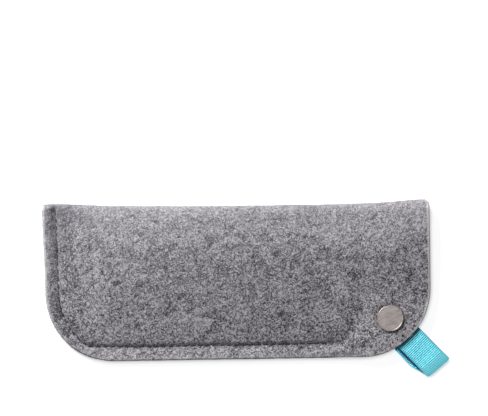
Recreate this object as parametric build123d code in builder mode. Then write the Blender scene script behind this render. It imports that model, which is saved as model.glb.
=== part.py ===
from build123d import *
import os
from collections import namedtuple
from math import cos, radians, sin

# Felt eyeglasses case: a sheet of felt folded along its top edge, sewn down the left end and along
# the bottom, and closed at the lower right corner by a press stud with a ribbon pull tab.
# Millimetres. The case lies on its back panel: +Z through its thickness, +X along it to the mouth,
# +Y to the fold, and the origin at the middle of the back panel's outer face.

os.makedirs("parts", exist_ok=True)

# ---- driving dimensions -------------------------------------------------------------------------

# felt sheet
felt = 2.8  # thickness
case_length = 184.6
bottom_edge = -37.1  # Y of the cut edge opposite the fold
corner_radius = 33.0  # both lower corners
fold_radius = 5.2  # outer radius of the fold along the middle of the case
snap_height = 10.4  # outer height round the press stud, which holds the layers apart
snap_flat = -8.0  # Y below which the mouth's end is flat at that height
layer_slit = 0.3  # between the unsewn layers where they lie together

# seam: a lockstitch sunk in a groove
seam_points = ((-86.9, 35.9), (-86.0, -8.5), (-81.6, -21.0), (-73.2, -30.1), (46.2, -30.4))
seam_radii = (36.0, 24.0, 9.0)
thread_width = 0.6
thread_height = 0.4
groove_width = 1.0
groove_depth = 0.5

# flap: the front layer's corner beyond the last stitch, which bends up along the flex line
flex_start = (48.7, -30.3)
flex_angle = 53.6  # from +X, up to the mouth just short of the fold
flex_groove = 1.5  # room left of the line for the bulge that folds over it
flex_clearance = 0.1

# press stud, on one vertical axis
snap_x = 72.8
snap_y = -18.6
pressed = 0.4  # how far each metal face sinks into the felt
sheet = 0.4  # gauge of the pressed metal parts
cap_radius = 6.25
cap_height = 1.6
cap_chamfer = 0.45
post_radius = 1.4
post_bore = 1.0
post_disc_radius = 5.7
socket_radius = 5.7
socket_height = 3.5
mouth_radius = 3.0
stud_neck_radius = 1.8
stud_ball_radius = 2.2
stud_height = 2.5
stud_flange_radius = 5.2
rivet_radius = 5.0
rivet_shank_radius = 1.2
rivet_bore = 0.85
wire_radius = 0.35
metal_fit = 0.05  # radial, between parts of the same half of the press stud
rolled = 0.15  # height of a tube's rolled-over end above the sheet it holds
bevel = 0.2  # broken edges of the pressed parts

# ribbon, folded double and held between the felt and the socket
ribbon_width = 13.6
ribbon_ply = 0.45
ribbon_angle = -46.0  # from +X
ribbon_tail = 7.4  # from the press stud's axis back to the cut ends
ribbon_hinge = 14.0  # from the press stud's axis out to the bend line
ribbon_tip = 33.9  # from the press stud's axis out to the folded tip
ribbon_tip_z = 1.45  # the tip hangs just above the surface that the case lies on
bend_gap = 0.2  # between the clamped plies and the loop's round root

# ---- heights worked out from them ---------------------------------------------------------------

layers = 2 * felt
half_length = case_length / 2
flap_under = snap_height - felt
cap_seat = snap_height - pressed
tails_under = flap_under - 2 * ribbon_ply
socket_under = tails_under - socket_height
stud_seat = felt - pressed
rivet_seat = pressed + 0.1  # the rivet's disc lies 0.1 inside the back panel's face
ribbon_middle = flap_under - ribbon_ply

# ---- ribbon -------------------------------------------------------------------------------------

ribbon_direction = Vector(cos(radians(ribbon_angle)), sin(radians(ribbon_angle)))
ribbon_section = Plane(
    origin=(snap_x, snap_y, 0),
    x_dir=ribbon_direction,
    z_dir=(ribbon_direction.Y, -ribbon_direction.X, 0),
)

# Both plies, flat under the felt and pierced by the post.
tails_end = ribbon_hinge - ribbon_ply - bend_gap
with BuildPart() as ribbon_tails:
    with BuildSketch(ribbon_section):
        with Locations((-ribbon_tail, tails_under)):
            Rectangle(ribbon_tail + tails_end, 2 * ribbon_ply, align=(Align.MIN, Align.MIN))
    extrude(amount=ribbon_width / 2, both=True)
    with Locations((snap_x, snap_y, flap_under)):
        Hole(post_radius + metal_fit)

# The free loop: a drooping upper ply and a slack lower one, which part round a narrow eye and
# meet again at the creased tip. Its root is round about the bend line.
root_top = (ribbon_hinge, ribbon_middle + ribbon_ply)
root_under = (ribbon_hinge, ribbon_middle - ribbon_ply)
tip_top = (ribbon_tip - ribbon_ply, ribbon_tip_z + ribbon_ply)
tip_under = (ribbon_tip - ribbon_ply, ribbon_tip_z - ribbon_ply)
eye_root = (ribbon_hinge + 2 * ribbon_ply, ribbon_middle)
eye_tip = (ribbon_tip - ribbon_ply, ribbon_tip_z)
upper_sag = (24.0, 5.85)
lower_sag = (23.5, 1.2)
with BuildPart() as ribbon_loop:
    with BuildSketch(ribbon_section):
        with BuildLine():
            ThreePointArc(root_top, upper_sag, tip_top)
            ThreePointArc(tip_top, (ribbon_tip, ribbon_tip_z), tip_under)
            ThreePointArc(tip_under, lower_sag, root_under)
            ThreePointArc(root_under, (ribbon_hinge - ribbon_ply, ribbon_middle), root_top)
        make_face()
        with BuildLine():
            ThreePointArc(eye_root, (upper_sag[0], upper_sag[1] - ribbon_ply), eye_tip)
            ThreePointArc(eye_tip, (lower_sag[0], lower_sag[1] + ribbon_ply), eye_root)
        make_face(mode=Mode.SUBTRACT)
    extrude(amount=ribbon_width / 2, both=True)

# ---- felt ---------------------------------------------------------------------------------------

# One cross-section of the folded sheet. fold_y is the fold's outermost point and fold_r its outer
# radius. The front panel leaves it rising by rise degrees, comes down to the seam at dip degrees,
# and ends at edge_z on the cut edge.
Station = namedtuple("Station", "x fold_y fold_r rise dip seam_y seam_z edge_z")

pressed_end = Station(-half_length - 1, 38.6, felt, 0, 0, 30.0, layers, layers)
body_stations = (
    pressed_end,
    pressed_end._replace(x=-86.4),
    Station(-80.5, 38.4, 3.6, 4, 12, -20.5, layers, layers),
    Station(-72.5, 38.0, 4.5, 7, 15, -29.2, layers, layers),
    Station(-58.0, 37.2, fold_radius, 8, 17, -29.8, layers, layers),
    Station(-10.0, 36.5, fold_radius, 9, 17, -29.8, layers, layers),
    Station(38.0, 36.4, fold_radius, 8, 16, -29.8, layers, layers),
)
mouth_stations = (
    Station(49.0, 36.5, 5.3, 8, 13, -29.8, layers + 0.7, layers + layer_slit),
    Station(66.0, 36.8, 5.7, 7, 6, snap_flat, snap_height, snap_height),
    Station(half_length + 1, 37.8, 6.5, 6, 9, snap_flat, snap_height, snap_height),
)
past_edge = bottom_edge - 1.0
handle = 0.36  # length of each curve handle of the front panel, as a share of its width


def folded_section(station, inset, open_edge):
    """The folded sheet's outline, or with inset the space inside it, drawn with Y across and Z up."""
    radius = station.fold_r - inset
    fold_start = (station.fold_y - station.fold_r, inset)
    front_end = (station.seam_y, station.seam_z - inset)
    with BuildSketch() as section:
        with BuildLine():
            fold = JernArc(fold_start, (1, 0), radius, 180 - station.rise)
            reach = handle * (fold.position_at(1).X - station.seam_y)
            Bezier(
                fold @ 1,
                fold @ 1 + (fold % 1) * reach,
                Vector(*front_end) + Vector(cos(radians(station.dip)), sin(radians(station.dip))) * reach,
                front_end,
            )
            if open_edge:
                Polyline(front_end, (past_edge, station.edge_z - inset), (past_edge, inset), fold_start)
            else:
                Polyline(front_end, (station.seam_y, inset), fold_start)
        make_face()
    return section.sketch


# The seam's groove needs the pocket to end just inside it.
pocket_start = Station(-84.6, 38.5, felt + 0.3, 0, 3, 0.0, layers + 0.1, layers)
pocket_stations = (pocket_start,) + tuple(
    station._replace(seam_z=max(station.seam_z, layers + 0.1))
    for station in body_stations[2:] + mouth_stations[:1]
)

with BuildPart() as folded_felt:
    for station in body_stations + mouth_stations:
        with BuildSketch(Plane.YZ.offset(station.x)):
            add(folded_section(station, 0, True))
    loft(ruled=True)
    with BuildSketch():
        with Locations((0, bottom_edge)):
            Rectangle(case_length, 100, align=(Align.CENTER, Align.MIN))
        fillet(vertices().group_by(Axis.Y)[0], corner_radius)
    extrude(amount=30, mode=Mode.INTERSECT)

with BuildPart() as pocket:
    for station in pocket_stations:
        with BuildSketch(Plane.YZ.offset(station.x)):
            add(folded_section(station, felt, False))
    loft(ruled=True)

with BuildPart() as mouth:
    for station in mouth_stations:
        with BuildSketch(Plane.YZ.offset(station.x)):
            add(folded_section(station, felt, True))
    loft(ruled=True)

flex_direction = Vector(cos(radians(flex_angle)), sin(radians(flex_angle)))


def beyond_flex_line(bottom, height, start):
    """A block over the flap's corner, from bottom up, that starts this far outward of the line."""
    reach = 100
    line = Plane(origin=(*flex_start, bottom), x_dir=flex_direction, z_dir=(0, 0, 1))
    with BuildPart() as block:
        with BuildSketch(line):
            with Locations((0, -start)):
                Rectangle(2 * reach, reach, align=(Align.CENTER, Align.MAX))
        extrude(amount=height)
    return block.part


def along_seam(width, bottom, height):
    """A flat band of this width that follows the seam."""
    with BuildPart() as band:
        with BuildSketch(Plane.XY.offset(bottom)):
            with BuildLine(mode=Mode.PRIVATE) as path:
                FilletPolyline(*seam_points, radius=seam_radii)
            trace(path.line, line_width=width)
        extrude(amount=height)
    return band.part


front_groove = along_seam(groove_width, layers - groove_depth, 2 * felt)
back_groove = along_seam(groove_width, 0, groove_depth)
above_back = felt + layer_slit / 2

with BuildPart() as felt_body:
    add(folded_felt.part)
    add(pocket.part, mode=Mode.SUBTRACT)
    add(mouth.part, mode=Mode.SUBTRACT)
    add(beyond_flex_line(above_back, 30, -flex_groove), mode=Mode.SUBTRACT)
    add(beyond_flex_line(felt, layer_slit, flex_clearance), mode=Mode.SUBTRACT)
    add(front_groove, mode=Mode.SUBTRACT)
    add(back_groove, mode=Mode.SUBTRACT)
    with Locations((snap_x, snap_y, felt)):
        CounterBoreHole(rivet_shank_radius + metal_fit, stud_flange_radius + metal_fit, pressed)
    with Locations(Location((snap_x, snap_y, 0), (180, 0, 0))):
        CounterBoreHole(rivet_shank_radius + metal_fit, rivet_radius + metal_fit, rivet_seat, felt)

with BuildPart() as felt_flap:
    add(folded_felt.part)
    add(beyond_flex_line(felt + layer_slit, 30, flex_clearance), mode=Mode.INTERSECT)
    add(mouth.part, mode=Mode.SUBTRACT)
    add(ribbon_tails.part, mode=Mode.SUBTRACT)
    with Locations((snap_x, snap_y, snap_height)):
        CounterBoreHole(post_radius + metal_fit, cap_radius + metal_fit, pressed)

with BuildPart() as needle_thread:
    add(along_seam(thread_width, layers - groove_depth, thread_height))

with BuildPart() as bobbin_thread:
    add(along_seam(thread_width, groove_depth - thread_height, thread_height))

# ---- press stud ---------------------------------------------------------------------------------

snap_axis = Axis((snap_x, snap_y, 0), (0, 0, 1))
snap_section = Plane(origin=(snap_x, snap_y, 0), x_dir=(1, 0, 0), z_dir=(0, -1, 0))

# Cap: a drawn shell whose skirt is curled in under the post's disc.
cap_top = cap_seat + cap_height
curl_radius = post_disc_radius - 0.5
with BuildPart() as snap_cap:
    with BuildSketch(snap_section):
        with BuildLine():
            Polyline(
                (0, cap_top),
                (cap_radius - cap_chamfer, cap_top),
                (cap_radius, cap_top - cap_chamfer),
                (cap_radius, cap_seat + sheet / 2),
                (cap_radius - sheet / 2, cap_seat),
                (curl_radius, cap_seat),
                (curl_radius, cap_seat + sheet),
                (cap_radius - sheet, cap_seat + sheet),
                (cap_radius - sheet, cap_top - sheet / 2 - cap_chamfer),
                (cap_radius - sheet / 2 - cap_chamfer, cap_top - sheet),
                (0, cap_top - sheet),
                close=True,
            )
        make_face()
    revolve(axis=snap_axis)

# Post: its disc rests on the cap's curl, and its end is rolled over under the socket's base.
disc_under = cap_seat + sheet
roll_top = tails_under - 2 * sheet
post_end = roll_top - rolled - 0.1
roll_radius = post_radius + 0.7
with BuildPart() as cap_post:
    with BuildSketch(snap_section):
        with BuildLine():
            Polyline(
                (0, disc_under + sheet),
                (post_disc_radius, disc_under + sheet),
                (post_disc_radius, disc_under),
                (post_radius, disc_under),
                (post_radius, roll_top),
                (roll_radius, roll_top),
                (roll_radius - rolled, post_end),
                (post_bore, post_end),
                (post_bore, disc_under - sheet),
                (0, disc_under - sheet),
                close=True,
            )
        make_face()
    revolve(axis=snap_axis)

# Socket base: a dished plate, its rim held down by the socket case's rolled edge.
base_rim = socket_radius - sheet - metal_fit
base_step = base_rim - 1.1
with BuildPart() as socket_base:
    with BuildSketch(snap_section):
        with BuildLine():
            Polyline(
                (post_radius + metal_fit, tails_under),
                (base_step, tails_under),
                (base_step, tails_under - sheet),
                (base_rim, tails_under - sheet),
                (base_rim, tails_under - 2 * sheet),
                (base_step - sheet, tails_under - 2 * sheet),
                (post_radius + metal_fit, tails_under - 2 * sheet),
                close=True,
            )
        make_face()
    revolve(axis=snap_axis)

# Socket case: a cup with the mouth in its floor, whose rolled lip guides the stud's ball.
lip_flare = 0.3
with BuildPart() as socket_case:
    with BuildSketch(snap_section):
        with BuildLine():
            Polyline(
                (mouth_radius + lip_flare, socket_under),
                (socket_radius - bevel, socket_under),
                (socket_radius, socket_under + bevel),
                (socket_radius, tails_under - bevel),
                (socket_radius - bevel, tails_under),
                (base_step + metal_fit, tails_under),
                (base_step + metal_fit, tails_under - sheet),
                (socket_radius - sheet, tails_under - sheet),
                (socket_radius - sheet, socket_under + sheet),
                (mouth_radius, socket_under + sheet),
                (mouth_radius, socket_under + lip_flare),
                close=True,
            )
        make_face()
    revolve(axis=snap_axis)

# Socket spring: a hairpin of wire whose two legs lie across the mouth and grip the stud's neck.
leg_offset = stud_neck_radius + wire_radius + 0.1
leg_top = 2.2
leg_foot = -3.9
hook_end = (3.9, -2.4)
hook_bend = 0.7
spring_z = socket_under + sheet + wire_radius + 0.1
spring_plane = Plane(origin=(snap_x, snap_y, spring_z), x_dir=(1, 0, 0), z_dir=(0, 0, 1))
with BuildPart() as socket_spring:
    with BuildLine(spring_plane) as spring_line:
        left_leg = FilletPolyline(
            (-hook_end[0], hook_end[1]), (-leg_offset, leg_foot), (-leg_offset, leg_top), radius=hook_bend
        )
        ThreePointArc((-leg_offset, leg_top), (0, leg_top + leg_offset), (leg_offset, leg_top))
        FilletPolyline((leg_offset, leg_top), (leg_offset, leg_foot), hook_end, radius=hook_bend)
    with BuildSketch(Plane(origin=left_leg @ 0, z_dir=left_leg % 0)):
        RegularPolygon(wire_radius, 8)
    sweep(path=spring_line.wires()[0])

# Stud: a hollow knob drawn up from its flange, open at the top for the rivet.
stud_top = felt + stud_height
ball_z = stud_top - sheet
neck_z = ball_z - 0.7
stud_bore = rivet_shank_radius + metal_fit
with BuildPart() as stud:
    with BuildSketch(snap_section):
        with BuildLine():
            Polyline(
                (stud_bore, ball_z),
                (stud_bore, stud_top),
                (stud_neck_radius, stud_top),
                (stud_ball_radius - bevel / 2, stud_top - bevel),
                (stud_ball_radius, ball_z),
                (stud_neck_radius, neck_z),
                (stud_neck_radius, felt),
                (stud_flange_radius - bevel, felt),
                (stud_flange_radius, felt - bevel),
                (stud_flange_radius, stud_seat),
                (stud_neck_radius - sheet, stud_seat),
                (stud_neck_radius - sheet, neck_z + bevel),
                (stud_ball_radius - sheet, ball_z),
                close=True,
            )
        make_face()
    revolve(axis=snap_axis)

# Rivet: a flat disc sunk in the back of the case, its tube rolled over on top of the stud.
rivet_top = stud_top + rolled
rivet_face = rivet_seat - sheet
with BuildPart() as stud_rivet:
    with BuildSketch(snap_section):
        with BuildLine():
            Polyline(
                (0, rivet_face),
                (rivet_radius - bevel, rivet_face),
                (rivet_radius, rivet_face + bevel),
                (rivet_radius, rivet_seat),
                (rivet_shank_radius, rivet_seat),
                (rivet_shank_radius, stud_top),
                (rivet_shank_radius + 2 * rolled, stud_top),
                (rivet_shank_radius + rolled, rivet_top),
                (rivet_bore, rivet_top),
                (rivet_bore, rivet_seat - bevel),
                (0, rivet_seat - bevel),
                close=True,
            )
        make_face()
    revolve(axis=snap_axis)

# ---- output -------------------------------------------------------------------------------------

pieces = {
    "felt_body": felt_body,
    "felt_flap": felt_flap,
    "needle_thread": needle_thread,
    "bobbin_thread": bobbin_thread,
    "snap_cap": snap_cap,
    "cap_post": cap_post,
    "socket_base": socket_base,
    "socket_spring": socket_spring,
    "socket_case": socket_case,
    "stud": stud,
    "stud_rivet": stud_rivet,
    "ribbon_tails": ribbon_tails,
    "ribbon_loop": ribbon_loop,
}
for name, piece in pieces.items():
    piece.part.label = name
    export_step(piece.part, f"parts/{name}.step")
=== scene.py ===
from math import atan2, cos, exp, hypot, pi, radians, sin, tau

import bpy
from mathutils import Matrix, Vector, kdtree, noise


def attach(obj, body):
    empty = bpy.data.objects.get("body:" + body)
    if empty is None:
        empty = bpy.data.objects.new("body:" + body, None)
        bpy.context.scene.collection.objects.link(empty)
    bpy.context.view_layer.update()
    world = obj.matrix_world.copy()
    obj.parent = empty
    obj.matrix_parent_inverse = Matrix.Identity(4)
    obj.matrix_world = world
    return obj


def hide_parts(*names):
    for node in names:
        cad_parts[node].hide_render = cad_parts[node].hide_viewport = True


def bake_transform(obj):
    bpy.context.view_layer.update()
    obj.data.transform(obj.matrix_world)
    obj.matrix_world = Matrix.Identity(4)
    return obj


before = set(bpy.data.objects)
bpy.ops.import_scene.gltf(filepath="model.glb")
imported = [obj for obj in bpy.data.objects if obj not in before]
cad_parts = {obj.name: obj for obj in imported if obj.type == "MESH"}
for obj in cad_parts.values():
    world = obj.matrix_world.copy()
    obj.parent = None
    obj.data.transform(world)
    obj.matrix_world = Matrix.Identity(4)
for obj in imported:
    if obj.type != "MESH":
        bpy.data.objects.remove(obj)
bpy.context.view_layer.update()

# Felt eyeglasses case, closed and lying on its back panel, seen from straight above.
# Sizes are in millimetres here and become metres as they reach a mesh.
# +X runs along the case to its mouth and +Y to its fold.

mm = 0.001


def deselect():
    bpy.ops.object.select_all(action="DESELECT")


def only(piece):
    deselect()
    piece.select_set(True)
    bpy.context.view_layer.objects.active = piece
    return piece


def named(name):
    """The object that was just added, under its own name."""
    piece = bpy.context.object
    piece.name = name
    piece.data.name = name
    return piece


def apply_modifier(piece, kind, **settings):
    only(piece)
    modifier = piece.modifiers.new(kind.title(), kind)
    for name, value in settings.items():
        setattr(modifier, name, value)
    bpy.ops.object.modifier_apply(modifier=modifier.name)


def settle(piece):
    """Puts the piece's place and size into its mesh."""
    only(piece)
    bpy.ops.object.transform_apply(location=True, rotation=True, scale=True)


def smooth(piece, angle=40):
    only(piece)
    bpy.ops.object.shade_smooth_by_angle(angle=radians(angle))


# ---- camera, floor and light -------------------------------------------------------------------

bpy.context.scene.view_settings.view_transform = "Standard"

view_width = 234.24  # of the surface seen, at felt_level
view_height = 1800.0  # of the camera over felt_level
felt_level = 6.0  # Z
camera_place = Vector((3.58, 35.25, view_height + felt_level))
camera_roll = -0.9
sensor_width = 36.0
bpy.ops.object.camera_add(location=camera_place * mm, rotation=(0, 0, radians(camera_roll)))
camera = named("camera")
camera.data.sensor_width = sensor_width
camera.data.lens = sensor_width * view_height / view_width
camera.data.clip_start = 0.01
camera.data.clip_end = 20.0
bpy.context.scene.camera = camera


class Signal:
    """A shader socket that takes part in sums."""

    def __init__(self, finish, socket):
        self.finish = finish
        self.socket = socket

    def maths(self, operation, first, second=0.0):
        return self.finish.node("ShaderNodeMath", {"operation": operation}, {0: first, 1: second})

    def __add__(self, other):
        return self.maths("ADD", self, other)

    def __sub__(self, other):
        return self.maths("SUBTRACT", self, other)

    def __rsub__(self, other):
        return self.maths("SUBTRACT", other, self)

    def __mul__(self, other):
        return self.maths("MULTIPLY", self, other)

    __radd__ = __add__
    __rmul__ = __mul__

    def least(self, other):
        return self.maths("MINIMUM", self, other)

    def most(self, other):
        return self.maths("MAXIMUM", self, other)

    def between(self, low, high):
        """0 below low, 1 above high and smooth from one to the other."""
        sockets = {"Value": self, "From Min": low, "From Max": high}
        return self.finish.node("ShaderNodeMapRange", {"interpolation_type": "SMOOTHSTEP"}, sockets)

    def before(self, low, high):
        """1 below low, 0 above high and smooth from one to the other."""
        return 1 - self.between(low, high)


class Finish:
    """A material and the nodes that make it."""

    def __init__(self, name, world=None):
        self.material = world or bpy.data.materials.new(name)
        self.material.use_nodes = True
        self.nodes = self.material.node_tree.nodes
        self.nodes.clear()

    def node(self, kind, settings=None, sockets=None, out=0):
        """Adds a node: its settings first, then its sockets' values or links."""
        node = self.nodes.new(kind)
        for name, value in (settings or {}).items():
            if name == "stops":
                ramp = node.color_ramp
                while len(ramp.elements) < len(value):
                    ramp.elements.new(0.5)
                for element, (place, shade) in zip(ramp.elements, value):
                    element.position = place
                    element.color = (*shade, 1.0)
            else:
                setattr(node, name, value)
        for name, value in (sockets or {}).items():
            if isinstance(value, Signal):
                self.material.node_tree.links.new(value.socket, node.inputs[name])
            else:
                node.inputs[name].default_value = value
        return Signal(self, node.outputs[out]) if node.outputs else node

    def place(self, turn=(0, 0, 0), sizes=(1000, 1000, 1000)):
        """Object coordinates along axes turned by these degrees, in units of these millimetres."""
        coordinates = self.node("ShaderNodeTexCoord", out="Object")
        turn, sizes = [radians(a) for a in turn], [size * mm for size in sizes]
        sockets = {"Vector": coordinates, "Rotation": turn, "Scale": sizes}
        return self.node("ShaderNodeMapping", {"vector_type": "TEXTURE"}, sockets)

    def grain(self, place, scale, detail=2.0, roughness=0.5, distortion=0.0):
        sockets = {"Vector": place, "Scale": scale, "Detail": detail}
        sockets |= {"Roughness": roughness, "Distortion": distortion}
        return self.node("ShaderNodeTexNoise", None, sockets)

    def mix(self, factor, first, second):
        return self.node("ShaderNodeMix", {"data_type": "RGBA"}, {0: factor, 6: first, 7: second}, out=2)

    def ramp(self, factor, *stops):
        return self.node("ShaderNodeValToRGB", {"stops": stops}, {"Fac": factor})

    def bump(self, height, distance, strength):
        sockets = {"Height": height, "Distance": distance * mm, "Strength": strength}
        return self.node("ShaderNodeBump", None, sockets)

    def attribute(self, name):
        return self.node("ShaderNodeAttribute", {"attribute_name": name}, out="Fac")

    def surface(self, **sockets):
        named_sockets = {name.replace("_", " "): value for name, value in sockets.items()}
        shader = self.node("ShaderNodeBsdfPrincipled", None, named_sockets)
        self.node("ShaderNodeOutputMaterial", None, {"Surface": shader})
        return self.material


def camera_sees(finish):
    """1 for what the camera sees directly, in a reflection or through glass."""
    path = finish.nodes.new("ShaderNodeLightPath")
    seen = Signal(finish, path.outputs["Is Camera Ray"])
    seen = seen.most(Signal(finish, path.outputs["Is Glossy Ray"]))
    return seen.most(Signal(finish, path.outputs["Is Transmission Ray"]))


shadow_reach = 3.6  # of the painted shadow where the case meets the floor
floor_drop = 0.05  # below the case, so that the two don't share a face

floor_finish = Finish("white_floor")
paper = floor_finish.node("ShaderNodeBsdfDiffuse", None, {"Color": (0.8, 0.8, 0.8, 1)})
near = floor_finish.node(
    "ShaderNodeAmbientOcclusion", {"samples": 16}, {"Distance": shadow_reach * mm}, out="AO"
)
# the floor glows white, with a painted shadow close to what lies on it
glow_with_painted_shadow = floor_finish.ramp(near, (0.42, (0.16, 0.16, 0.16)), (0.88, (0.84, 0.84, 0.84)))
glow = floor_finish.node("ShaderNodeEmission", None, {"Color": glow_with_painted_shadow, "Strength": camera_sees(floor_finish)})
lit = floor_finish.node("ShaderNodeAddShader", None, {0: paper, 1: glow})
floor_finish.node("ShaderNodeOutputMaterial", None, {"Surface": lit})

bpy.ops.mesh.primitive_plane_add(size=8.0, location=(0, 0, -floor_drop * mm))
floor = named("floor")
floor.data.materials.append(floor_finish.material)

world = bpy.context.scene.world or bpy.data.worlds.new("studio")
bpy.context.scene.world = world
studio = Finish("studio", world)
seen = camera_sees(studio)
room = studio.node("ShaderNodeBackground", None, {"Color": (1, 1, 1, 1), "Strength": seen * 0.80 + 0.20})
studio.node("ShaderNodeOutputWorld", None, {"Surface": room})


def lamp(name, azimuth, elevation, distance, size, power):
    """A soft square lamp over the case. Azimuth is from +Y round towards -X."""
    a, e = radians(azimuth), radians(elevation)
    place = Vector((-sin(a) * cos(e), cos(a) * cos(e), sin(e))) * distance
    bpy.ops.object.light_add(type="AREA", location=place)
    light = named(name)
    light.data.shape = "SQUARE"
    light.data.size = size
    light.data.energy = power
    light.rotation_euler = place.to_track_quat("Z", "Y").to_euler()


lamp("low_lamp", azimuth=42, elevation=20, distance=0.50, size=0.32, power=3.7)
lamp("high_lamp", azimuth=30, elevation=54, distance=0.80, size=0.10, power=2.8)

# ---- felt ---------------------------------------------------------------------------------------

felt = 2.72  # a touch under the sheet's thickness, so that its layers don't share a face
layers = 5.6  # both sheets where they are sewn
half_length = 92.3
bottom_edge = -37.1  # Y of the cut edge
corner = 33.0  # radius of both lower corners
straight = half_length - corner
corner_y = bottom_edge + corner
half_arc = corner * pi / 4
snap_x, snap_y = 72.8, -18.6  # the middle of the press stud
snap = Vector((snap_x, snap_y))
snap_height = 10.4  # of the felt round the press stud
snap_flat = -8.0  # Y below which the mouth's end is flat at that height
split_angle = radians(-45)  # round the fold, where its two meshes meet out of sight

# Cross-sections across the case: x, then the fold's outermost Y and its radius, the front panel's
# rise from the fold and dip to the seam in degrees, and where it comes down, in Y and Z, and its
# height at the cut edge. The pinch at the sewn end is a shape of its own.
sections = (
    (-58.0, 37.2, 5.2, 14.0, 12.5, -29.8, 5.6, 5.6),
    (-10.0, 36.5, 5.2, 15.0, 12.5, -29.8, 5.6, 5.6),
    (38.0, 36.4, 5.2, 14.0, 12.5, -29.8, 5.6, 5.6),
    (49.0, 36.5, 5.3, 12.0, 13.0, -29.8, 6.3, 5.9),
    (66.0, 36.8, 5.7, 11.0, 6.0, snap_flat, snap_height, snap_height),
    (92.3, 38.2, 6.5, 8.0, 9.0, snap_flat, snap_height, snap_height),
)
fold_y, fold_radius, rise_angle, dip_angle, down_y, down_z, edge_z = range(1, 8)  # the columns
fold_line = ((-92.3, 38.6), (-86.4, 38.6), (-80.5, 38.4), (-72.5, 38.0), (-58.0, 37.2))
fold_handle, seam_handle = 0.26, 0.36  # of the front panel's curve, in shares of its width
puff_length = 30.0  # from the sewn end's seam to where the pocket has its full height
seam_points = (
    (-87.0, 35.9), (-86.6, 26.0), (-86.4, 16.0), (-86.2, 2.0), (-85.8, -7.5), (-84.7, -13.3), (-82.7, -18.2),
    (-80.2, -22.2), (-77.6, -25.6), (-74.4, -28.6), (-71.2, -29.9), (-66.6, -30.2), (-42.6, -30.6),
    (-18.6, -30.4), (5.4, -30.5), (29.4, -30.4), (46.2, -30.3),
)
sewn_end = seam_points[:11]
stitch_pitch = 3.5
seam_step = 0.25


def along(points, x):
    """A smooth curve through points of (x, value), with no bump between them."""
    if x <= points[0][0]:
        return points[0][1]
    if x >= points[-1][0]:
        return points[-1][1]
    slopes = [(b[1] - a[1]) / (b[0] - a[0]) for a, b in zip(points, points[1:])]
    tangents = [0.0]
    for before, after in zip(slopes, slopes[1:]):
        tangents.append(0.0 if before * after <= 0 else 2 * before * after / (before + after))
    tangents.append(0.0)
    i = next(k for k in range(len(slopes)) if x <= points[k + 1][0])
    width = points[i + 1][0] - points[i][0]
    t = (x - points[i][0]) / width
    return (
        points[i][1] * (1 + 2 * t) * (1 - t) ** 2
        + tangents[i] * width * t * (1 - t) ** 2
        + points[i + 1][1] * t * t * (3 - 2 * t)
        + tangents[i + 1] * width * t * t * (t - 1)
    )


def section_at(x, column):
    """One column of the sections, carried smoothly along the case."""
    return along([(section[0], section[column]) for section in sections], x)


def step(low, high, value):
    t = min(max((value - low) / (high - low), 0.0), 1.0)
    return t * t * (3 - 2 * t)


def curve_through(points, spacing):
    """Evenly spaced points along a smooth curve through these."""
    fine = []
    ends = [points[0], *points, points[-1]]
    for a, b, c, d in zip(ends, ends[1:], ends[2:], ends[3:]):
        for k in range(40):
            t = k / 40
            fine.append(
                Vector(
                    [
                        b[i]
                        + 0.5 * t * (c[i] - a[i])
                        + t * t * (a[i] - 2.5 * b[i] + 2 * c[i] - 0.5 * d[i])
                        + t**3 * (1.5 * (b[i] - c[i]) + 0.5 * (d[i] - a[i]))
                        for i in range(2)
                    ]
                )
            )
    fine.append(Vector(points[-1]))
    even, walked, goal = [fine[0]], 0.0, spacing
    for a, b in zip(fine, fine[1:]):
        length = (b - a).length
        while length and walked + length >= goal:
            even.append(a.lerp(b, (goal - walked) / length))
            goal += spacing
        walked += length
    return even


def nearest(points):
    tree = kdtree.KDTree(len(points))
    for i, point in enumerate(points):
        tree.insert((point[0], point[1], 0.0), i)
    tree.balance()
    return tree


seam = curve_through(seam_points, seam_step)
seam_tree = nearest(seam)
needle_holes = curve_through(seam_points, stitch_pitch)
hole_tree = nearest(needle_holes)


def from_snap(x, y):
    """Distance from the press stud's middle, seen from above."""
    return hypot(x - snap_x, y - snap_y)


def seam_x(y):
    """Where the sewn end's seam lies at this Y."""
    above = [point for point in sewn_end if point[1] >= y]
    if not above:
        return sewn_end[-1][0]
    k = len(above) - 1
    a, b = seam_points[k], seam_points[k + 1]
    return a[0] + (b[0] - a[0]) * min(max((a[1] - y) / (a[1] - b[1]), 0.0), 1.0)


def puff(x, y):
    """0 at the sewn end's seam and 1 where the pocket has its full height."""
    share = min(max((x - seam_x(y)) / puff_length, 0.0), 1.0)
    return 1 - (1 - share) ** 2


def puff_of_fold(x):
    return puff(x, 34)


def fold_at(x):
    """The fold's outermost Y and its outer radius."""
    outermost = along(fold_line, x) if x < fold_line[-1][0] else section_at(x, fold_y)
    radius = layers / 2 + (section_at(x, fold_radius) - layers / 2) * puff_of_fold(x)
    return outermost, radius


def rise_at(x):
    return radians(section_at(x, rise_angle)) * puff_of_fold(x)


def tangent_y(x):
    """Where the front panel leaves the fold."""
    outermost, radius = fold_at(x)
    return outermost - radius + radius * sin(rise_at(x))


def bezier(a, b, c, d, t):
    return a * (1 - t) ** 3 + 3 * b * t * (1 - t) ** 2 + 3 * c * t * t * (1 - t) + d * t**3


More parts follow.
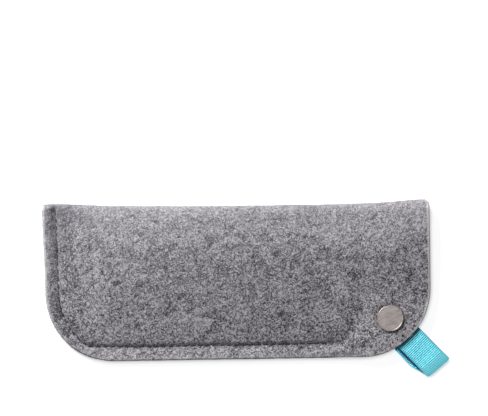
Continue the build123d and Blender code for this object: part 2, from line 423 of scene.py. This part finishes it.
def front_height(x, y):
    """Height of the front panel's outer face, before the seam pulls it in."""
    end_y, end_z, edge = (section_at(x, column) for column in (down_y, down_z, edge_z))
    if y <= end_y:
        return end_z + (edge - end_z) * min((end_y - y) / (end_y - bottom_edge), 1.0)
    rise, dip = radians(section_at(x, rise_angle)), radians(section_at(x, dip_angle))
    full = layers + (section_at(x, fold_radius) - layers / 2) * 2
    top = Vector((tangent_y(x), full))
    width = top.x - end_y
    first = top + Vector((-cos(rise), sin(rise))) * fold_handle * width
    second = Vector((end_y, end_z)) + Vector((cos(dip), sin(dip))) * seam_handle * width
    low, high = 0.0, 1.0
    for _ in range(18):
        t = (low + high) / 2
        low, high = (t, high) if bezier(top.x, first.x, second.x, end_y, t) > y else (low, t)
    height = bezier(top.y, first.y, second.y, end_z, t)
    return layers + (height - layers) * (puff(x, y) if x < -40 else 1.0)


def on_corner(side, angle):
    """A point of the left or right corner's arc, this far round from the bottom edge."""
    return Vector((side * (straight + corner * sin(angle)), corner_y - corner * cos(angle)))


def outline_end(side, t, top_y):
    """The cut edge of the left or right end, from the middle of its corner's arc up to the fold."""
    walked = t * (half_arc + top_y - corner_y)
    if walked < half_arc:
        return on_corner(side, pi / 4 + walked / corner)
    return Vector((side * half_length, corner_y + walked - half_arc))


def outline_bottom(s):
    """The cut edge from the middle of one corner's arc, along the bottom, to the other."""
    length = 2 * half_arc + 2 * straight
    walked = s * length
    if walked < half_arc:
        return on_corner(-1, pi / 4 - walked / corner)
    if walked > length - half_arc:
        return on_corner(1, (walked - length + half_arc) / corner)
    return Vector((walked - half_arc - straight, bottom_edge))


def x_along(s):
    return -half_length + 2 * half_length * s


def panel_point(s, t):
    """A point of the flat panel, from its left cut edge to the mouth and from its bottom edge up."""
    left_top, right_top = tangent_y(-half_length), tangent_y(half_length)
    left, right = outline_end(-1, t, left_top), outline_end(1, t, right_top)
    bottom = outline_bottom(s)
    top = Vector((x_along(s), tangent_y(x_along(s))))
    corners = (
        (1 - s) * (1 - t) * outline_bottom(0)
        + s * (1 - t) * outline_bottom(1)
        + (1 - s) * t * Vector((-half_length, left_top))
        + s * t * Vector((half_length, right_top))
    )
    return (1 - t) * bottom + t * top + (1 - s) * left + s * right - corners


def spaced(length, coarse, *bands):
    """Shares of a length, coarse apart but finer in bands of (from, to, spacing)."""
    places, reached = [0.0], 0.0
    while reached < length - coarse * 0.6:
        spacing = min([coarse] + [band[2] for band in bands if band[0] <= reached < band[1]])
        reached += spacing
        places.append(reached)
    places[-1] = length
    return [place / length for place in places]


def lumps(x, y, z):
    """The felt's own unevenness."""
    slow = noise.noise(Vector((x * 0.030, y * 0.045, 1.7))) * 0.30
    medium = noise.noise(Vector((x * 0.12, y * 0.12, z * 0.12 + 5.0))) * 0.10
    fine = noise.noise(Vector((x * 0.55, y * 0.55, z * 0.55 + 9.0))) * 0.055
    return slow, medium + fine


pinch = 1.0  # of either sheet at the seam
groove = 0.25  # of the thread into the felt
dimple = 0.35  # at each needle hole


def seam_pull(x, y):
    """How far the thread draws the felt in, at this place of either panel."""
    _, i, away = seam_tree.find((x, y, 0))
    _, _, hole = hole_tree.find((x, y, 0))
    run = seam[min(i + 1, len(seam) - 1)] - seam[max(i - 1, 0)]
    inside = run.x * (y - seam[i].y) - run.y * (x - seam[i].x) > 0
    reach = 0.9 if inside else 3.4
    flare = 0.0 if inside else 0.10 * away * (1 - step(7.5, 11.0, away))
    narrow = groove * exp(-((away / 0.8) ** 2)) + dimple * exp(-((hole / 0.6) ** 2))
    return pinch * exp(-((away / reach) ** 2)) + narrow - flare


def eased(x, y):
    """X, with the sewn end leant out towards the fold and the mouth's two corners a little rounder."""
    leaning = 0.9 * step(-4.0, 36.0, y) * (1 - step(-half_length, 9.0 - half_length, x))
    by_fold = 0.45 * max(y - fold_at(x)[0] + 1.7, 0.0) ** 2 * step(half_length - 14, half_length, x)
    by_seam = 0.9 * step(-46.0, -37.0, y) * (1 - step(-33.0, -20.0, y))
    return x - leaning - by_fold - by_seam * step(half_length - 24, half_length - 8, x)


panel_height = 68.4  # about, from the cut edge to the fold, to space the rows by
coarse = 1.15  # from line to line of the sheets' grids, where nothing finer is needed
columns = spaced(2 * half_length, coarse, (3.0, 9.0, 0.45), (2 * half_length - 30, 2 * half_length - 9, 0.8))
panel_rows = spaced(panel_height, coarse, (3.2, 9.0, 0.42), (9.0, 30.0, 0.9))
front_fold_rows, back_fold_rows = 22, 7
cap_dip, cap_rim = 0.85, (5.9, 8.6)  # of the front sheet under the cap, and the radii it fades between
rivet_rise, rivet_rim = 0.5, (4.9, 6.4)  # of the back sheet's underside over the rivet, and the same


def front_panel(s, t):
    """A point of the front sheet's outer face."""
    x, y = panel_point(s, t)
    away = from_snap(x, y)
    slow, quick = lumps(x, y, 0)
    free = step(0.0, 14.0, seam_tree.find((x, y, 0))[2]) * step(7.0, 16.0, away)
    z = front_height(x, y) + slow * free + quick - seam_pull(x, y)
    return x, y, z - cap_dip * (1 - step(*cap_rim, away))


def front_fold(s, share):
    """A point of the fold, this share of the way from the front panel to the back sheet."""
    x = x_along(s)
    outermost, radius = fold_at(x)
    start = pi / 2 - rise_at(x)
    angle = start + (split_angle - start) * share
    _, quick = lumps(x, outermost + radius * angle, 3.0)
    lumpy = radius + quick * (1 - step(0.8, 1.0, share))
    hang = seam_pull(x, tangent_y(x)) * (1 - share) ** 2
    return x, outermost - radius + lumpy * cos(angle), radius + lumpy * sin(angle) - hang


def back_panel(s, t):
    """A point of the back sheet's outer face, which the case lies on."""
    x, y = panel_point(s, t)
    outermost, radius = fold_at(x)
    y -= (tangent_y(x) - outermost + radius) * step(0.3, 1.0, t)
    _, quick = lumps(x, y, 30.0)
    z = max(0.04 - quick * 0.35 + seam_pull(x, y), 0.0)
    return x, y, z + rivet_rise * (1 - step(*rivet_rim, from_snap(x, y)))


def back_fold(s, share):
    """A point of the fold, this share of the way from the back panel to the front sheet."""
    x = x_along(s)
    outermost, radius = fold_at(x)
    angle = -pi / 2 + (split_angle + pi / 2) * share
    return x, outermost - radius + radius * cos(angle), radius + radius * sin(angle)


def lay_sheet(name, panel, fold, fold_rows):
    """A sheet's outer face as one grid, and its length round the middle of the case."""
    last_column, last_row = len(columns) - 1, len(panel_rows) + fold_rows - 1
    bpy.ops.mesh.primitive_grid_add(x_subdivisions=last_column, y_subdivisions=last_row, size=1.0)
    sheet = named(name)
    middle = []
    for vertex in sheet.data.vertices:
        i, j = round((vertex.co.x + 0.5) * last_column), round((vertex.co.y + 0.5) * last_row)
        if j < len(panel_rows):
            x, y, z = panel(columns[i], panel_rows[j])
        else:
            x, y, z = fold(columns[i], (j - len(panel_rows) + 1) / fold_rows)
        vertex.co = Vector((eased(x, y), y, z)) * mm
        if i == len(columns) // 2:
            middle.append(vertex.co)
    return sheet, sum((a - b).length for a, b in zip(middle, middle[1:]))


felt_front, front_length = lay_sheet("felt_front", front_panel, front_fold, front_fold_rows)
felt_back, back_length = lay_sheet("felt_back", back_panel, back_fold, back_fold_rows)

cut_line = [outline_bottom(k / 600) for k in range(601)]
for side in (-1, 1):
    cut_line += [on_corner(side, radians(45 + k)) for k in range(46)]
    cut_line += [Vector((side * half_length, corner_y + k * 0.3)) for k in range(150)]
cut_line = [Vector((eased(*point), point.y)) for point in cut_line]
cut_tree = nearest(cut_line)


def from_cut(point):
    """Distance from the case's cut edge, seen from above."""
    return cut_tree.find((point.x / mm, point.y / mm, 0))[2]


def face_outwards(piece, upwards):
    """Turns a sheet's faces so that they look up, or down, in its middle."""
    piece.data.update()
    middle = min(piece.data.polygons, key=lambda face: face.center.xy.length)
    if (middle.normal.z > 0) != upwards:
        only(piece)
        bpy.ops.object.mode_set(mode="EDIT")
        bpy.ops.mesh.select_all(action="SELECT")
        bpy.ops.mesh.flip_normals()
        bpy.ops.object.mode_set(mode="OBJECT")


sewn_strip = 9.0  # how far from the seam the sheets are held together
seam_gap = 0.04  # of either hidden face from the plane between the sheets, in that strip
over_ribbon = 7.63  # Z of the front sheet's hidden face, over the ribbon's tails
under_stud = 2.36  # Z of the back sheet's hidden face, under the stud's flange


def squeeze(piece, upwards):
    """Keeps the sheets' hidden faces apart near the seam, and leaves room for the ribbon and the stud."""
    for vertex in piece.data.vertices:
        x, y, z = vertex.co / mm
        away = from_snap(x, y)
        if seam_tree.find((x, y, 0))[2] < sewn_strip and y < 33:  # short of the fold
            z = max(z, layers / 2 + seam_gap) if upwards else min(z, layers / 2 - seam_gap)
        if upwards and away < 14.0:
            z = max(z, over_ribbon + 0.4 * step(6.5, 8.5, away) - 1.4 * step(11.5, 14.0, away))
        elif away < 7.4:
            z = min(z, under_stud + 0.4 * step(5.6, 6.4, away))
        vertex.co.z = z * mm


cut_round = 0.8 * mm  # radius of the cut edge's corners
pale_edge_depth = 0.75  # of the paler band, partly cut fibres and partly painted light, in from the edge


def soften_cut_edge(piece, walls_from, hidden_from):
    """Rounds the cut edge's corners, less where its faces leave little room. The two numbers are those of
    the first wall and of the first vertex on the sheet's hidden side."""
    mesh = piece.data
    walls = {}  # how many of the cut edge's faces meet at an edge: one where that edge is a corner

    def span(key):
        return mesh.vertices[key[0]].co - mesh.vertices[key[1]].co

    for face in mesh.polygons[walls_from:]:
        if face.center.y < 30 * mm or abs(face.normal.x) > 0.5:
            for key in face.edge_keys:
                walls[key] = walls.get(key, 0) + 1
    # the way that a corner runs at each of its vertices, and the share of cut_round that fits there
    runs = {end: span(key).normalized() for key in mesh.edge_keys if walls.get(key) == 1 for end in key}
    room = dict.fromkeys(runs, 1.0)
    for key in mesh.edge_keys:
        if walls.get(key) != 1:
            share = (0.45 if key in walls else 0.7) / cut_round
            for end in key:
                if end in runs:
                    room[end] = min(room[end], span(key).cross(runs[end]).length * share)
    weights = mesh.attributes.new("bevel_weight_edge", "FLOAT", "EDGE")
    for edge, key in zip(mesh.edges, mesh.edge_keys):
        if walls.get(key) == 1:
            inside_fold = max(key) >= hidden_from and mesh.vertices[key[0]].co.y > 27 * mm
            weights.data[edge.index].value = 0.0 if inside_fold else min(room[key[0]], room[key[1]])
    apply_modifier(
        piece,
        "BEVEL",
        limit_method="WEIGHT",
        width=cut_round,
        segments=4,
        profile=0.5,
        use_clamp_overlap=False,
    )


def mark_cut_edge(piece):
    """Marks where the cut edge shows paler: partly its own cut fibres and partly painted light, set by
    place: fainter along the bottom edge and at the sewn end.
    """
    mark = piece.data.attributes.new("cut_edge", "FLOAT", "POINT")
    for vertex in piece.data.vertices:
        x, y, _ = vertex.co / mm
        # how much shows is painted light, set by place, not by the lamps
        pale_and_painted_light = (0.15 + 0.85 * step(-34.0, -12.0, y)) * (0.35 + 0.65 * step(-80.0, -40.0, x))
        pale_and_painted_light *= step(0.2, 0.8, abs(vertex.normal.z))
        pale_and_painted_light *= 1 - step(pale_edge_depth, pale_edge_depth + 0.5, from_cut(vertex.co))
        mark.data[vertex.index].value = pale_and_painted_light


for piece, upwards in ((felt_front, True), (felt_back, False)):
    face_outwards(piece, upwards)
    walls_from, hidden_from = 2 * len(piece.data.polygons), len(piece.data.vertices)
    apply_modifier(piece, "SOLIDIFY", thickness=felt * mm, offset=-1.0)
    squeeze(piece, upwards)
    soften_cut_edge(piece, walls_from, hidden_from)
    mark_cut_edge(piece)


def strokes(finish, turn, length, width, detail=1.0, wander=0.8):
    """Noise drawn out along one direction, as a fibre lies. Sizes in millimetres."""
    return finish.grain(finish.place((0, 0, turn), (length, width, width)), 1.0, detail, 0.5, wander)


felt_finish = Finish("felt")
dark_size, pale_size = (2.1, 0.65), (1.7, 0.6)  # length and width of the fibres' marks
dark_fibres = strokes(felt_finish, 25, *dark_size)
for turn in (70, 115, 160):
    dark_fibres = dark_fibres.least(strokes(felt_finish, turn, *dark_size))
pale_fibres = strokes(felt_finish, 5, *pale_size)
for turn in (50, 95, 140):
    pale_fibres = pale_fibres.most(strokes(felt_finish, turn, *pale_size))
fuzz = felt_finish.grain(felt_finish.place(), 1000 / 0.55, 2.0, 0.6)
clouds = felt_finish.grain(felt_finish.place(), 1000 / 6.0, 2.0, 0.5)
clumps = strokes(felt_finish, 38, 6.0, 3.0, 3.0, 1.2)
tufts = felt_finish.grain(felt_finish.place(), 1000 / 2.2, 1.0, 0.5)
felt_x, felt_y = (
    felt_finish.node("ShaderNodeSeparateXYZ", None, {"Vector": felt_finish.place(sizes=(1, 1, 1))}, out=axis)
    for axis in "XY"
)

# Places on the felt in millimetres, where light and shade are painted: each is 1 there and fades to 0 round
# it
below_seam = felt_y.before(-32.5, -29.0)
by_fold, on_fold = felt_y.between(8, 24), felt_y.between(20, 34)
end_seam = felt_x.between(-91.5, -87.5) * felt_x.before(-82, -68)
sewn_end_half = felt_x.before(-70, -40) * felt_y.between(-20, 0)  # from its middle to the fold
sewn_end_top = felt_x.before(-70, -40) * felt_y.between(8, 20)
mouth_top = felt_x.between(30, 55) * felt_y.between(12, 24)
rise_to_stud = felt_x.between(36, 50) * felt_x.before(58, 68)
rise_to_stud = rise_to_stud * felt_y.before(-26, -14) * felt_y.between(-33.5, -30)

mottle = (dark_fibres - 0.31) * 2.3 + (pale_fibres - 0.68) * 1.2 + (fuzz - 0.5) * 1.3
mottle = mottle + (clouds - 0.5) * 0.4 - 0.16 * clumps.before(0.33, 0.52)
# painted light: the grain's contrast stands in for the lamps raking it. It grows towards the bottom and the
# mouth, and is less on the bottom flange and on the fold
grain_contrast_for_light = (1.09 - felt_y * 0.0104) * (1 + felt_x * 0.0015) * (1 - 0.30 * below_seam) * (1 - 0.15 * on_fold)
# the felt's own tone of 0.475, with painted light and shade: paler to the left, on the bottom flange, by the
# fold, on the mouth's top and over the sewn end's upper half, but darker near the sewn end's top, along its
# flange and on the slope up to the press stud
tone_and_painted_light = 0.475 - 0.00025 * felt_x + 0.02 * below_seam + 0.075 * by_fold + 0.075 * mouth_top
tone_and_painted_light = tone_and_painted_light + 0.05 * sewn_end_half - 0.10 * sewn_end_top - 0.15 * end_seam - 0.10 * rise_to_stud
felt_shade = felt_finish.ramp(
    mottle * grain_contrast_for_light + tone_and_painted_light,
    (0.10, (0.026, 0.024, 0.031)),
    (0.42, (0.136, 0.129, 0.145)),
    (0.60, (0.238, 0.229, 0.249)),
    (0.92, (0.490, 0.479, 0.499)),
)
cut = felt_finish.attribute("cut_edge")
# the cut edge's pale band: its own paler fibres, with painted light
felt_shade = felt_finish.mix(cut * (fuzz * 0.8 + 0.5).least(1.0), felt_shade, (0.66, 0.655, 0.66, 1))
felt_material = felt_finish.surface(
    Base_Color=felt_shade,
    Roughness=0.95,
    Specular_IOR_Level=0.15,
    Sheen_Weight=0.25,
    Sheen_Roughness=0.5,
    Normal=felt_finish.bump(tufts, 0.35, 1.0),
)

felt_width = 2 * half_length * mm
rounded_off = (2 - pi / 2) * (corner * mm) ** 2
for piece, length in ((felt_front, front_length), (felt_back, back_length)):
    smooth(piece, 50)
    piece.data.materials.append(felt_material)
    felt_width * length - rounded_off

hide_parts("felt_flap")
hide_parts("felt_body")
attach(felt_back, "pouch")
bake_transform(felt_front)

# ---- stitches -----------------------------------------------------------------------------------

stitch_length = 3.4
stitch_radius = 0.40
stitch_parts = 8  # along its length
stitch_slant = 0.20  # of each end, to its own side
stitch_dive = 1.1  # of each end into the felt
thread_rise = 0.16  # of a stitch's middle out of its groove

thread_finish = Finish("thread")
plies = thread_finish.node(
    "ShaderNodeTexWave",
    {"wave_type": "BANDS", "bands_direction": "DIAGONAL"},
    {"Vector": thread_finish.place(), "Scale": 900.0, "Distortion": 1.0},
)
thread_shade = thread_finish.ramp(plies, (0.1, (0.003, 0.003, 0.004)), (0.9, (0.022, 0.021, 0.026)))
thread_material = thread_finish.surface(
    Base_Color=thread_shade, Roughness=0.6, Normal=thread_finish.bump(plies, 0.08, 0.8)
)

bpy.ops.mesh.primitive_cylinder_add(
    vertices=8, radius=stitch_radius * mm, depth=stitch_length * mm, rotation=(0, pi / 2, 0)
)
stitch = named("stitch")
settle(stitch)
bpy.ops.object.mode_set(mode="EDIT")
for k in range(1, stitch_parts):
    cut_at = (k / stitch_parts - 0.5) * stitch_length * mm
    bpy.ops.mesh.select_all(action="SELECT")
    bpy.ops.mesh.bisect(plane_co=(cut_at, 0, 0), plane_no=(1, 0, 0))
bpy.ops.object.mode_set(mode="OBJECT")
for vertex in stitch.data.vertices:
    share = vertex.co.x / (stitch_length / 2 * mm)  # -1 at one end and 1 at the other
    thin = 1 - 0.25 * share**4
    vertex.co.y = vertex.co.y * thin + stitch_slant * mm * share
    vertex.co.z = vertex.co.z * thin * 0.8 - stitch_dive * mm * abs(share) ** 3
smooth(stitch, 60)


def sew(name, height, turned):
    """A row of stitches along the seam, one to each pair of needle holes."""
    row = []
    for a, b in zip(needle_holes, needle_holes[1:]):
        middle, run = (a + b) / 2, b - a
        copy = stitch.copy()
        copy.data = stitch.data.copy()
        bpy.context.collection.objects.link(copy)
        length = run.length / stitch_pitch
        turn = Matrix.Rotation(atan2(run.y, run.x), 4, "Z") @ Matrix.Rotation(pi if turned else 0, 4, "X")
        place = Matrix.Translation(Vector((*middle, height(*middle))) * mm)
        copy.data.transform(place @ turn @ Matrix.Diagonal((length, 1, 1, 1)))
        row.append(copy)
    deselect()
    for copy in row:
        copy.select_set(True)
    bpy.context.view_layer.objects.active = row[0]
    bpy.ops.object.join()
    piece = named(name)
    piece.data.materials.append(thread_material)
    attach(piece, "pouch")
    return piece


front_stitches = sew("front_stitches", lambda x, y: front_height(x, y) - pinch - groove + thread_rise, False)
back_stitches = sew("back_stitches", lambda x, y: pinch + groove - thread_rise, True)
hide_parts("needle_thread")
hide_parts("bobbin_thread")
bpy.data.objects.remove(stitch)

# ---- ribbon -------------------------------------------------------------------------------------

ribbon_width = 13.7
ribbon_thick = 0.36
ribbon_step = 0.14  # from row to row of its grid
rib_pitch = 0.95
rib_height = 0.14
ribbon_offset = -0.25  # of its middle from the press stud's, across
aside = 2.1  # how far the lower ply lies out beside the upper one, at most
ribbon_along = Vector((cos(radians(-46)), sin(radians(-46))))
ribbon_across = Vector((-ribbon_along.y, ribbon_along.x))

# The ribbon's line from tail to tail: distance from the press stud, and height
upper_ply = (
    (-7.4, 7.37), (0.0, 7.37), (12.0, 7.37), (15.0, 7.15),
    (19.5, 6.20), (24.5, 4.95), (29.0, 3.95), (32.6, 3.05),
)
crease = ((33.9, 2.1),)
lower_ply = (
    (32.7, 1.20), (28.5, 0.85), (23.5, 1.60), (19.0, 3.30),
    (15.5, 5.70), (12.0, 6.93), (0.0, 6.93), (-7.4, 6.93),
)
ribbon_line = curve_through(upper_ply + crease + lower_ply, ribbon_step)
last = len(ribbon_line) - 1  # its last row
turn_at = max(range(len(ribbon_line)), key=lambda i: ribbon_line[i].x)


def rib_at(i, w, reach):
    """How high the weave stands here, from -1 to 1: less at the selvedges and towards the crease."""
    wave = max(-1.0, min(1.0, 2.0 * cos(tau * i * ribbon_step / rib_pitch) + 0.6))
    return wave * (1 - 0.8 * step(5.9, 6.6, abs(w))) * (1 - 0.75 * step(25.0, 33.0, reach))


bpy.ops.mesh.primitive_grid_add(x_subdivisions=last, y_subdivisions=18, size=1.0)
ribbon = named("ribbon")
rib_tones_and_light, painted_shades, painted_reflections = [], [], []
for vertex in ribbon.data.vertices:
    i = round((vertex.co.x + 0.5) * last)
    w = vertex.co.y * ribbon_width
    here = ribbon_line[i]
    run = (ribbon_line[min(i + 1, last)] - ribbon_line[max(i - 1, 0)]).normalized()
    rib = rib_at(i, w, here.x)
    point = here + Vector((-run.y, run.x)) * rib * rib_height
    # towards the crease the ribbon runs askew, its corners draw back and its sides hang
    free = step(13.0, 34.0, here.x)
    s_along = point.x + (w * 0.075 - 0.5 * step(5.6, 6.85, abs(w))) * free
    cup = -0.25 * (w / ribbon_width) ** 2 * free
    sideways = ribbon_offset
    under = lit_beside = 0.0  # painted shade on the lower ply where it lies under the upper one and in the gap by its edge, and painted light on the strip seen beside it
    if i > turn_at:
        slack = aside * step(9.0, 13.0, here.x) * (1 - step(24.0, 33.5, here.x))
        sideways -= slack
        under = step(slack - 1.1, slack - 0.5, w + ribbon_width / 2)
        lit_beside = 1 - under
    spot = snap + ribbon_along * s_along + ribbon_across * (w + sideways)
    vertex.co = Vector((*spot, point.y + cup)) * mm
    # rib tone: crests painted lighter and troughs painted darker, with painted light towards the crease and
    # on the lower ply's strip beside the upper
    rib_tones_and_light.append(0.5 + 0.5 * rib + 0.30 * step(24.0, 32.0, here.x) + 0.25 * lit_beside)
    # painted shade: darker under and within 2 mm of the felt's edge, where its shadow falls, and on the
    # lower ply under the upper one
    painted_shades.append(max(1 - step(1.0, 2.0, from_cut(vertex.co)), under))
    # painted reflection: more metallic, to look brighter, on the upper ply near the felt and on the lower
    # ply's strip beside it
    painted_reflections.append(lit_beside if i > turn_at else 0.24 + 0.08 * (1 - step(19.0, 27.0, here.x)))
for name, values in (("shade", painted_shades), ("rib", rib_tones_and_light), ("sheen", painted_reflections)):
    ribbon.data.attributes.new(name, "FLOAT", "POINT").data.foreach_set("value", values)
one_side = len(ribbon.data.vertices)
apply_modifier(ribbon, "SOLIDIFY", thickness=ribbon_thick * mm, offset=0.0)

# A face that looks down gets none of the painted shade or painted reflection, and the rib tone's painted
# light and shade are halved on it
painted_shade_of, rib_tone_and_light_of, painted_reflection_of = (ribbon.data.attributes[name].data for name in ("shade", "rib", "sheen"))
for index in range(one_side):
    downward = min((index, index + one_side), key=lambda twin: ribbon.data.vertices[twin].co.z)
    painted_shade_of[downward].value = 0.0
    painted_reflection_of[downward].value = 0.0
    rib_tone_and_light_of[downward].value = 0.5 + 0.5 * rib_tone_and_light_of[downward].value
smooth(ribbon, 60)

ribbon_finish = Finish("ribbon")
yarn = strokes(ribbon_finish, 44, 0.25, 1.2)
# painted highlight on the weave's crests and painted shade in its troughs
rib_tone_and_light = ribbon_finish.attribute("rib") * 1.15 + yarn * 0.03 - 0.20
ribbon_shade = ribbon_finish.mix(rib_tone_and_light, (0.0, 0.03, 0.25, 1), (0.235, 0.90, 1.0, 1))
# painted shade: the felt's shadow beside its edge and the gap between the plies
ribbon_shade = ribbon_finish.mix(ribbon_finish.attribute("shade") * 0.92, ribbon_shade, (0.0, 0.08, 0.15, 1))
# Metallic 0.3 is the satin's own; the attribute adds painted reflection
ribbon.data.materials.append(
    ribbon_finish.surface(
        Base_Color=ribbon_shade,
        Metallic=0.3 + ribbon_finish.attribute("sheen") * 0.5,
        Roughness=0.4,
        Specular_IOR_Level=0.25,
        Normal=ribbon_finish.bump(yarn, 0.015, 0.2),
    )
)
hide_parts("ribbon_tails", "ribbon_loop")
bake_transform(ribbon)

# ---- press stud ---------------------------------------------------------------------------------

cap_radius = 6.25
cap_height = 1.6
cap_middle = 10.8  # Z
cap_round = 0.32  # radius of its rim
cap_face = ((0.45, 0.0), (0.22, -0.14), (0.6, 0.02), (1.0, 0.07), (1.0, 0.05), (1.2, 0.02))  # width, rise

metal_finish = Finish("brushed_nickel")
brushed = strokes(metal_finish, 20, 5.0, 0.30, 2.0)
smudge = metal_finish.grain(metal_finish.place(), 420, 2.0)
gleam = ((brushed - 0.5) * 1.6 + (smudge - 0.5) * 0.5 + 0.45).least(1.0).most(0.0)
metal = metal_finish.surface(
    Base_Color=metal_finish.mix(gleam, (0.15, 0.132, 0.126, 1), (0.44, 0.395, 0.378, 1)),
    Metallic=1.0,
    Roughness=0.34 + brushed * 0.22,
    Normal=metal_finish.bump(brushed, 0.02, 0.35),
)

bpy.ops.mesh.primitive_cylinder_add(
    vertices=96,
    radius=cap_radius * mm,
    depth=cap_height * mm,
    location=(snap_x * mm, snap_y * mm, cap_middle * mm),
)
cap = named("cap")
settle(cap)
bpy.ops.object.mode_set(mode="EDIT")
bpy.ops.mesh.select_all(action="DESELECT")
bpy.ops.object.mode_set(mode="OBJECT")
for face in cap.data.polygons:
    face.select = face.normal.z > 0.9
bpy.ops.object.mode_set(mode="EDIT")
bpy.ops.mesh.select_mode(type="FACE")
for width, rise in cap_face:
    bpy.ops.mesh.inset(thickness=width * mm)
    bpy.ops.transform.translate(value=(0, 0, rise * mm))
bpy.ops.object.mode_set(mode="OBJECT")
apply_modifier(cap, "BEVEL", limit_method="ANGLE", angle_limit=radians(60), width=cap_round * mm, segments=4)
smooth(cap, 30)
cap.data.materials.append(metal)
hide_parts("snap_cap")
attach(cap, "flap")

steel_finish = Finish("spring_wire")
drawn = steel_finish.grain(steel_finish.place(), 1500, 2.0)
steel_shade = steel_finish.mix(drawn, (0.52, 0.52, 0.50, 1), (0.74, 0.73, 0.70, 1))
steel = steel_finish.surface(Base_Color=steel_shade, Metallic=1.0, Roughness=0.25)
for name in ("cap_post", "socket_base", "socket_case", "stud", "stud_rivet", "socket_spring"):
    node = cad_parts[name]
    node.data.materials.clear()
    node.data.materials.append(steel if name == "socket_spring" else metal)
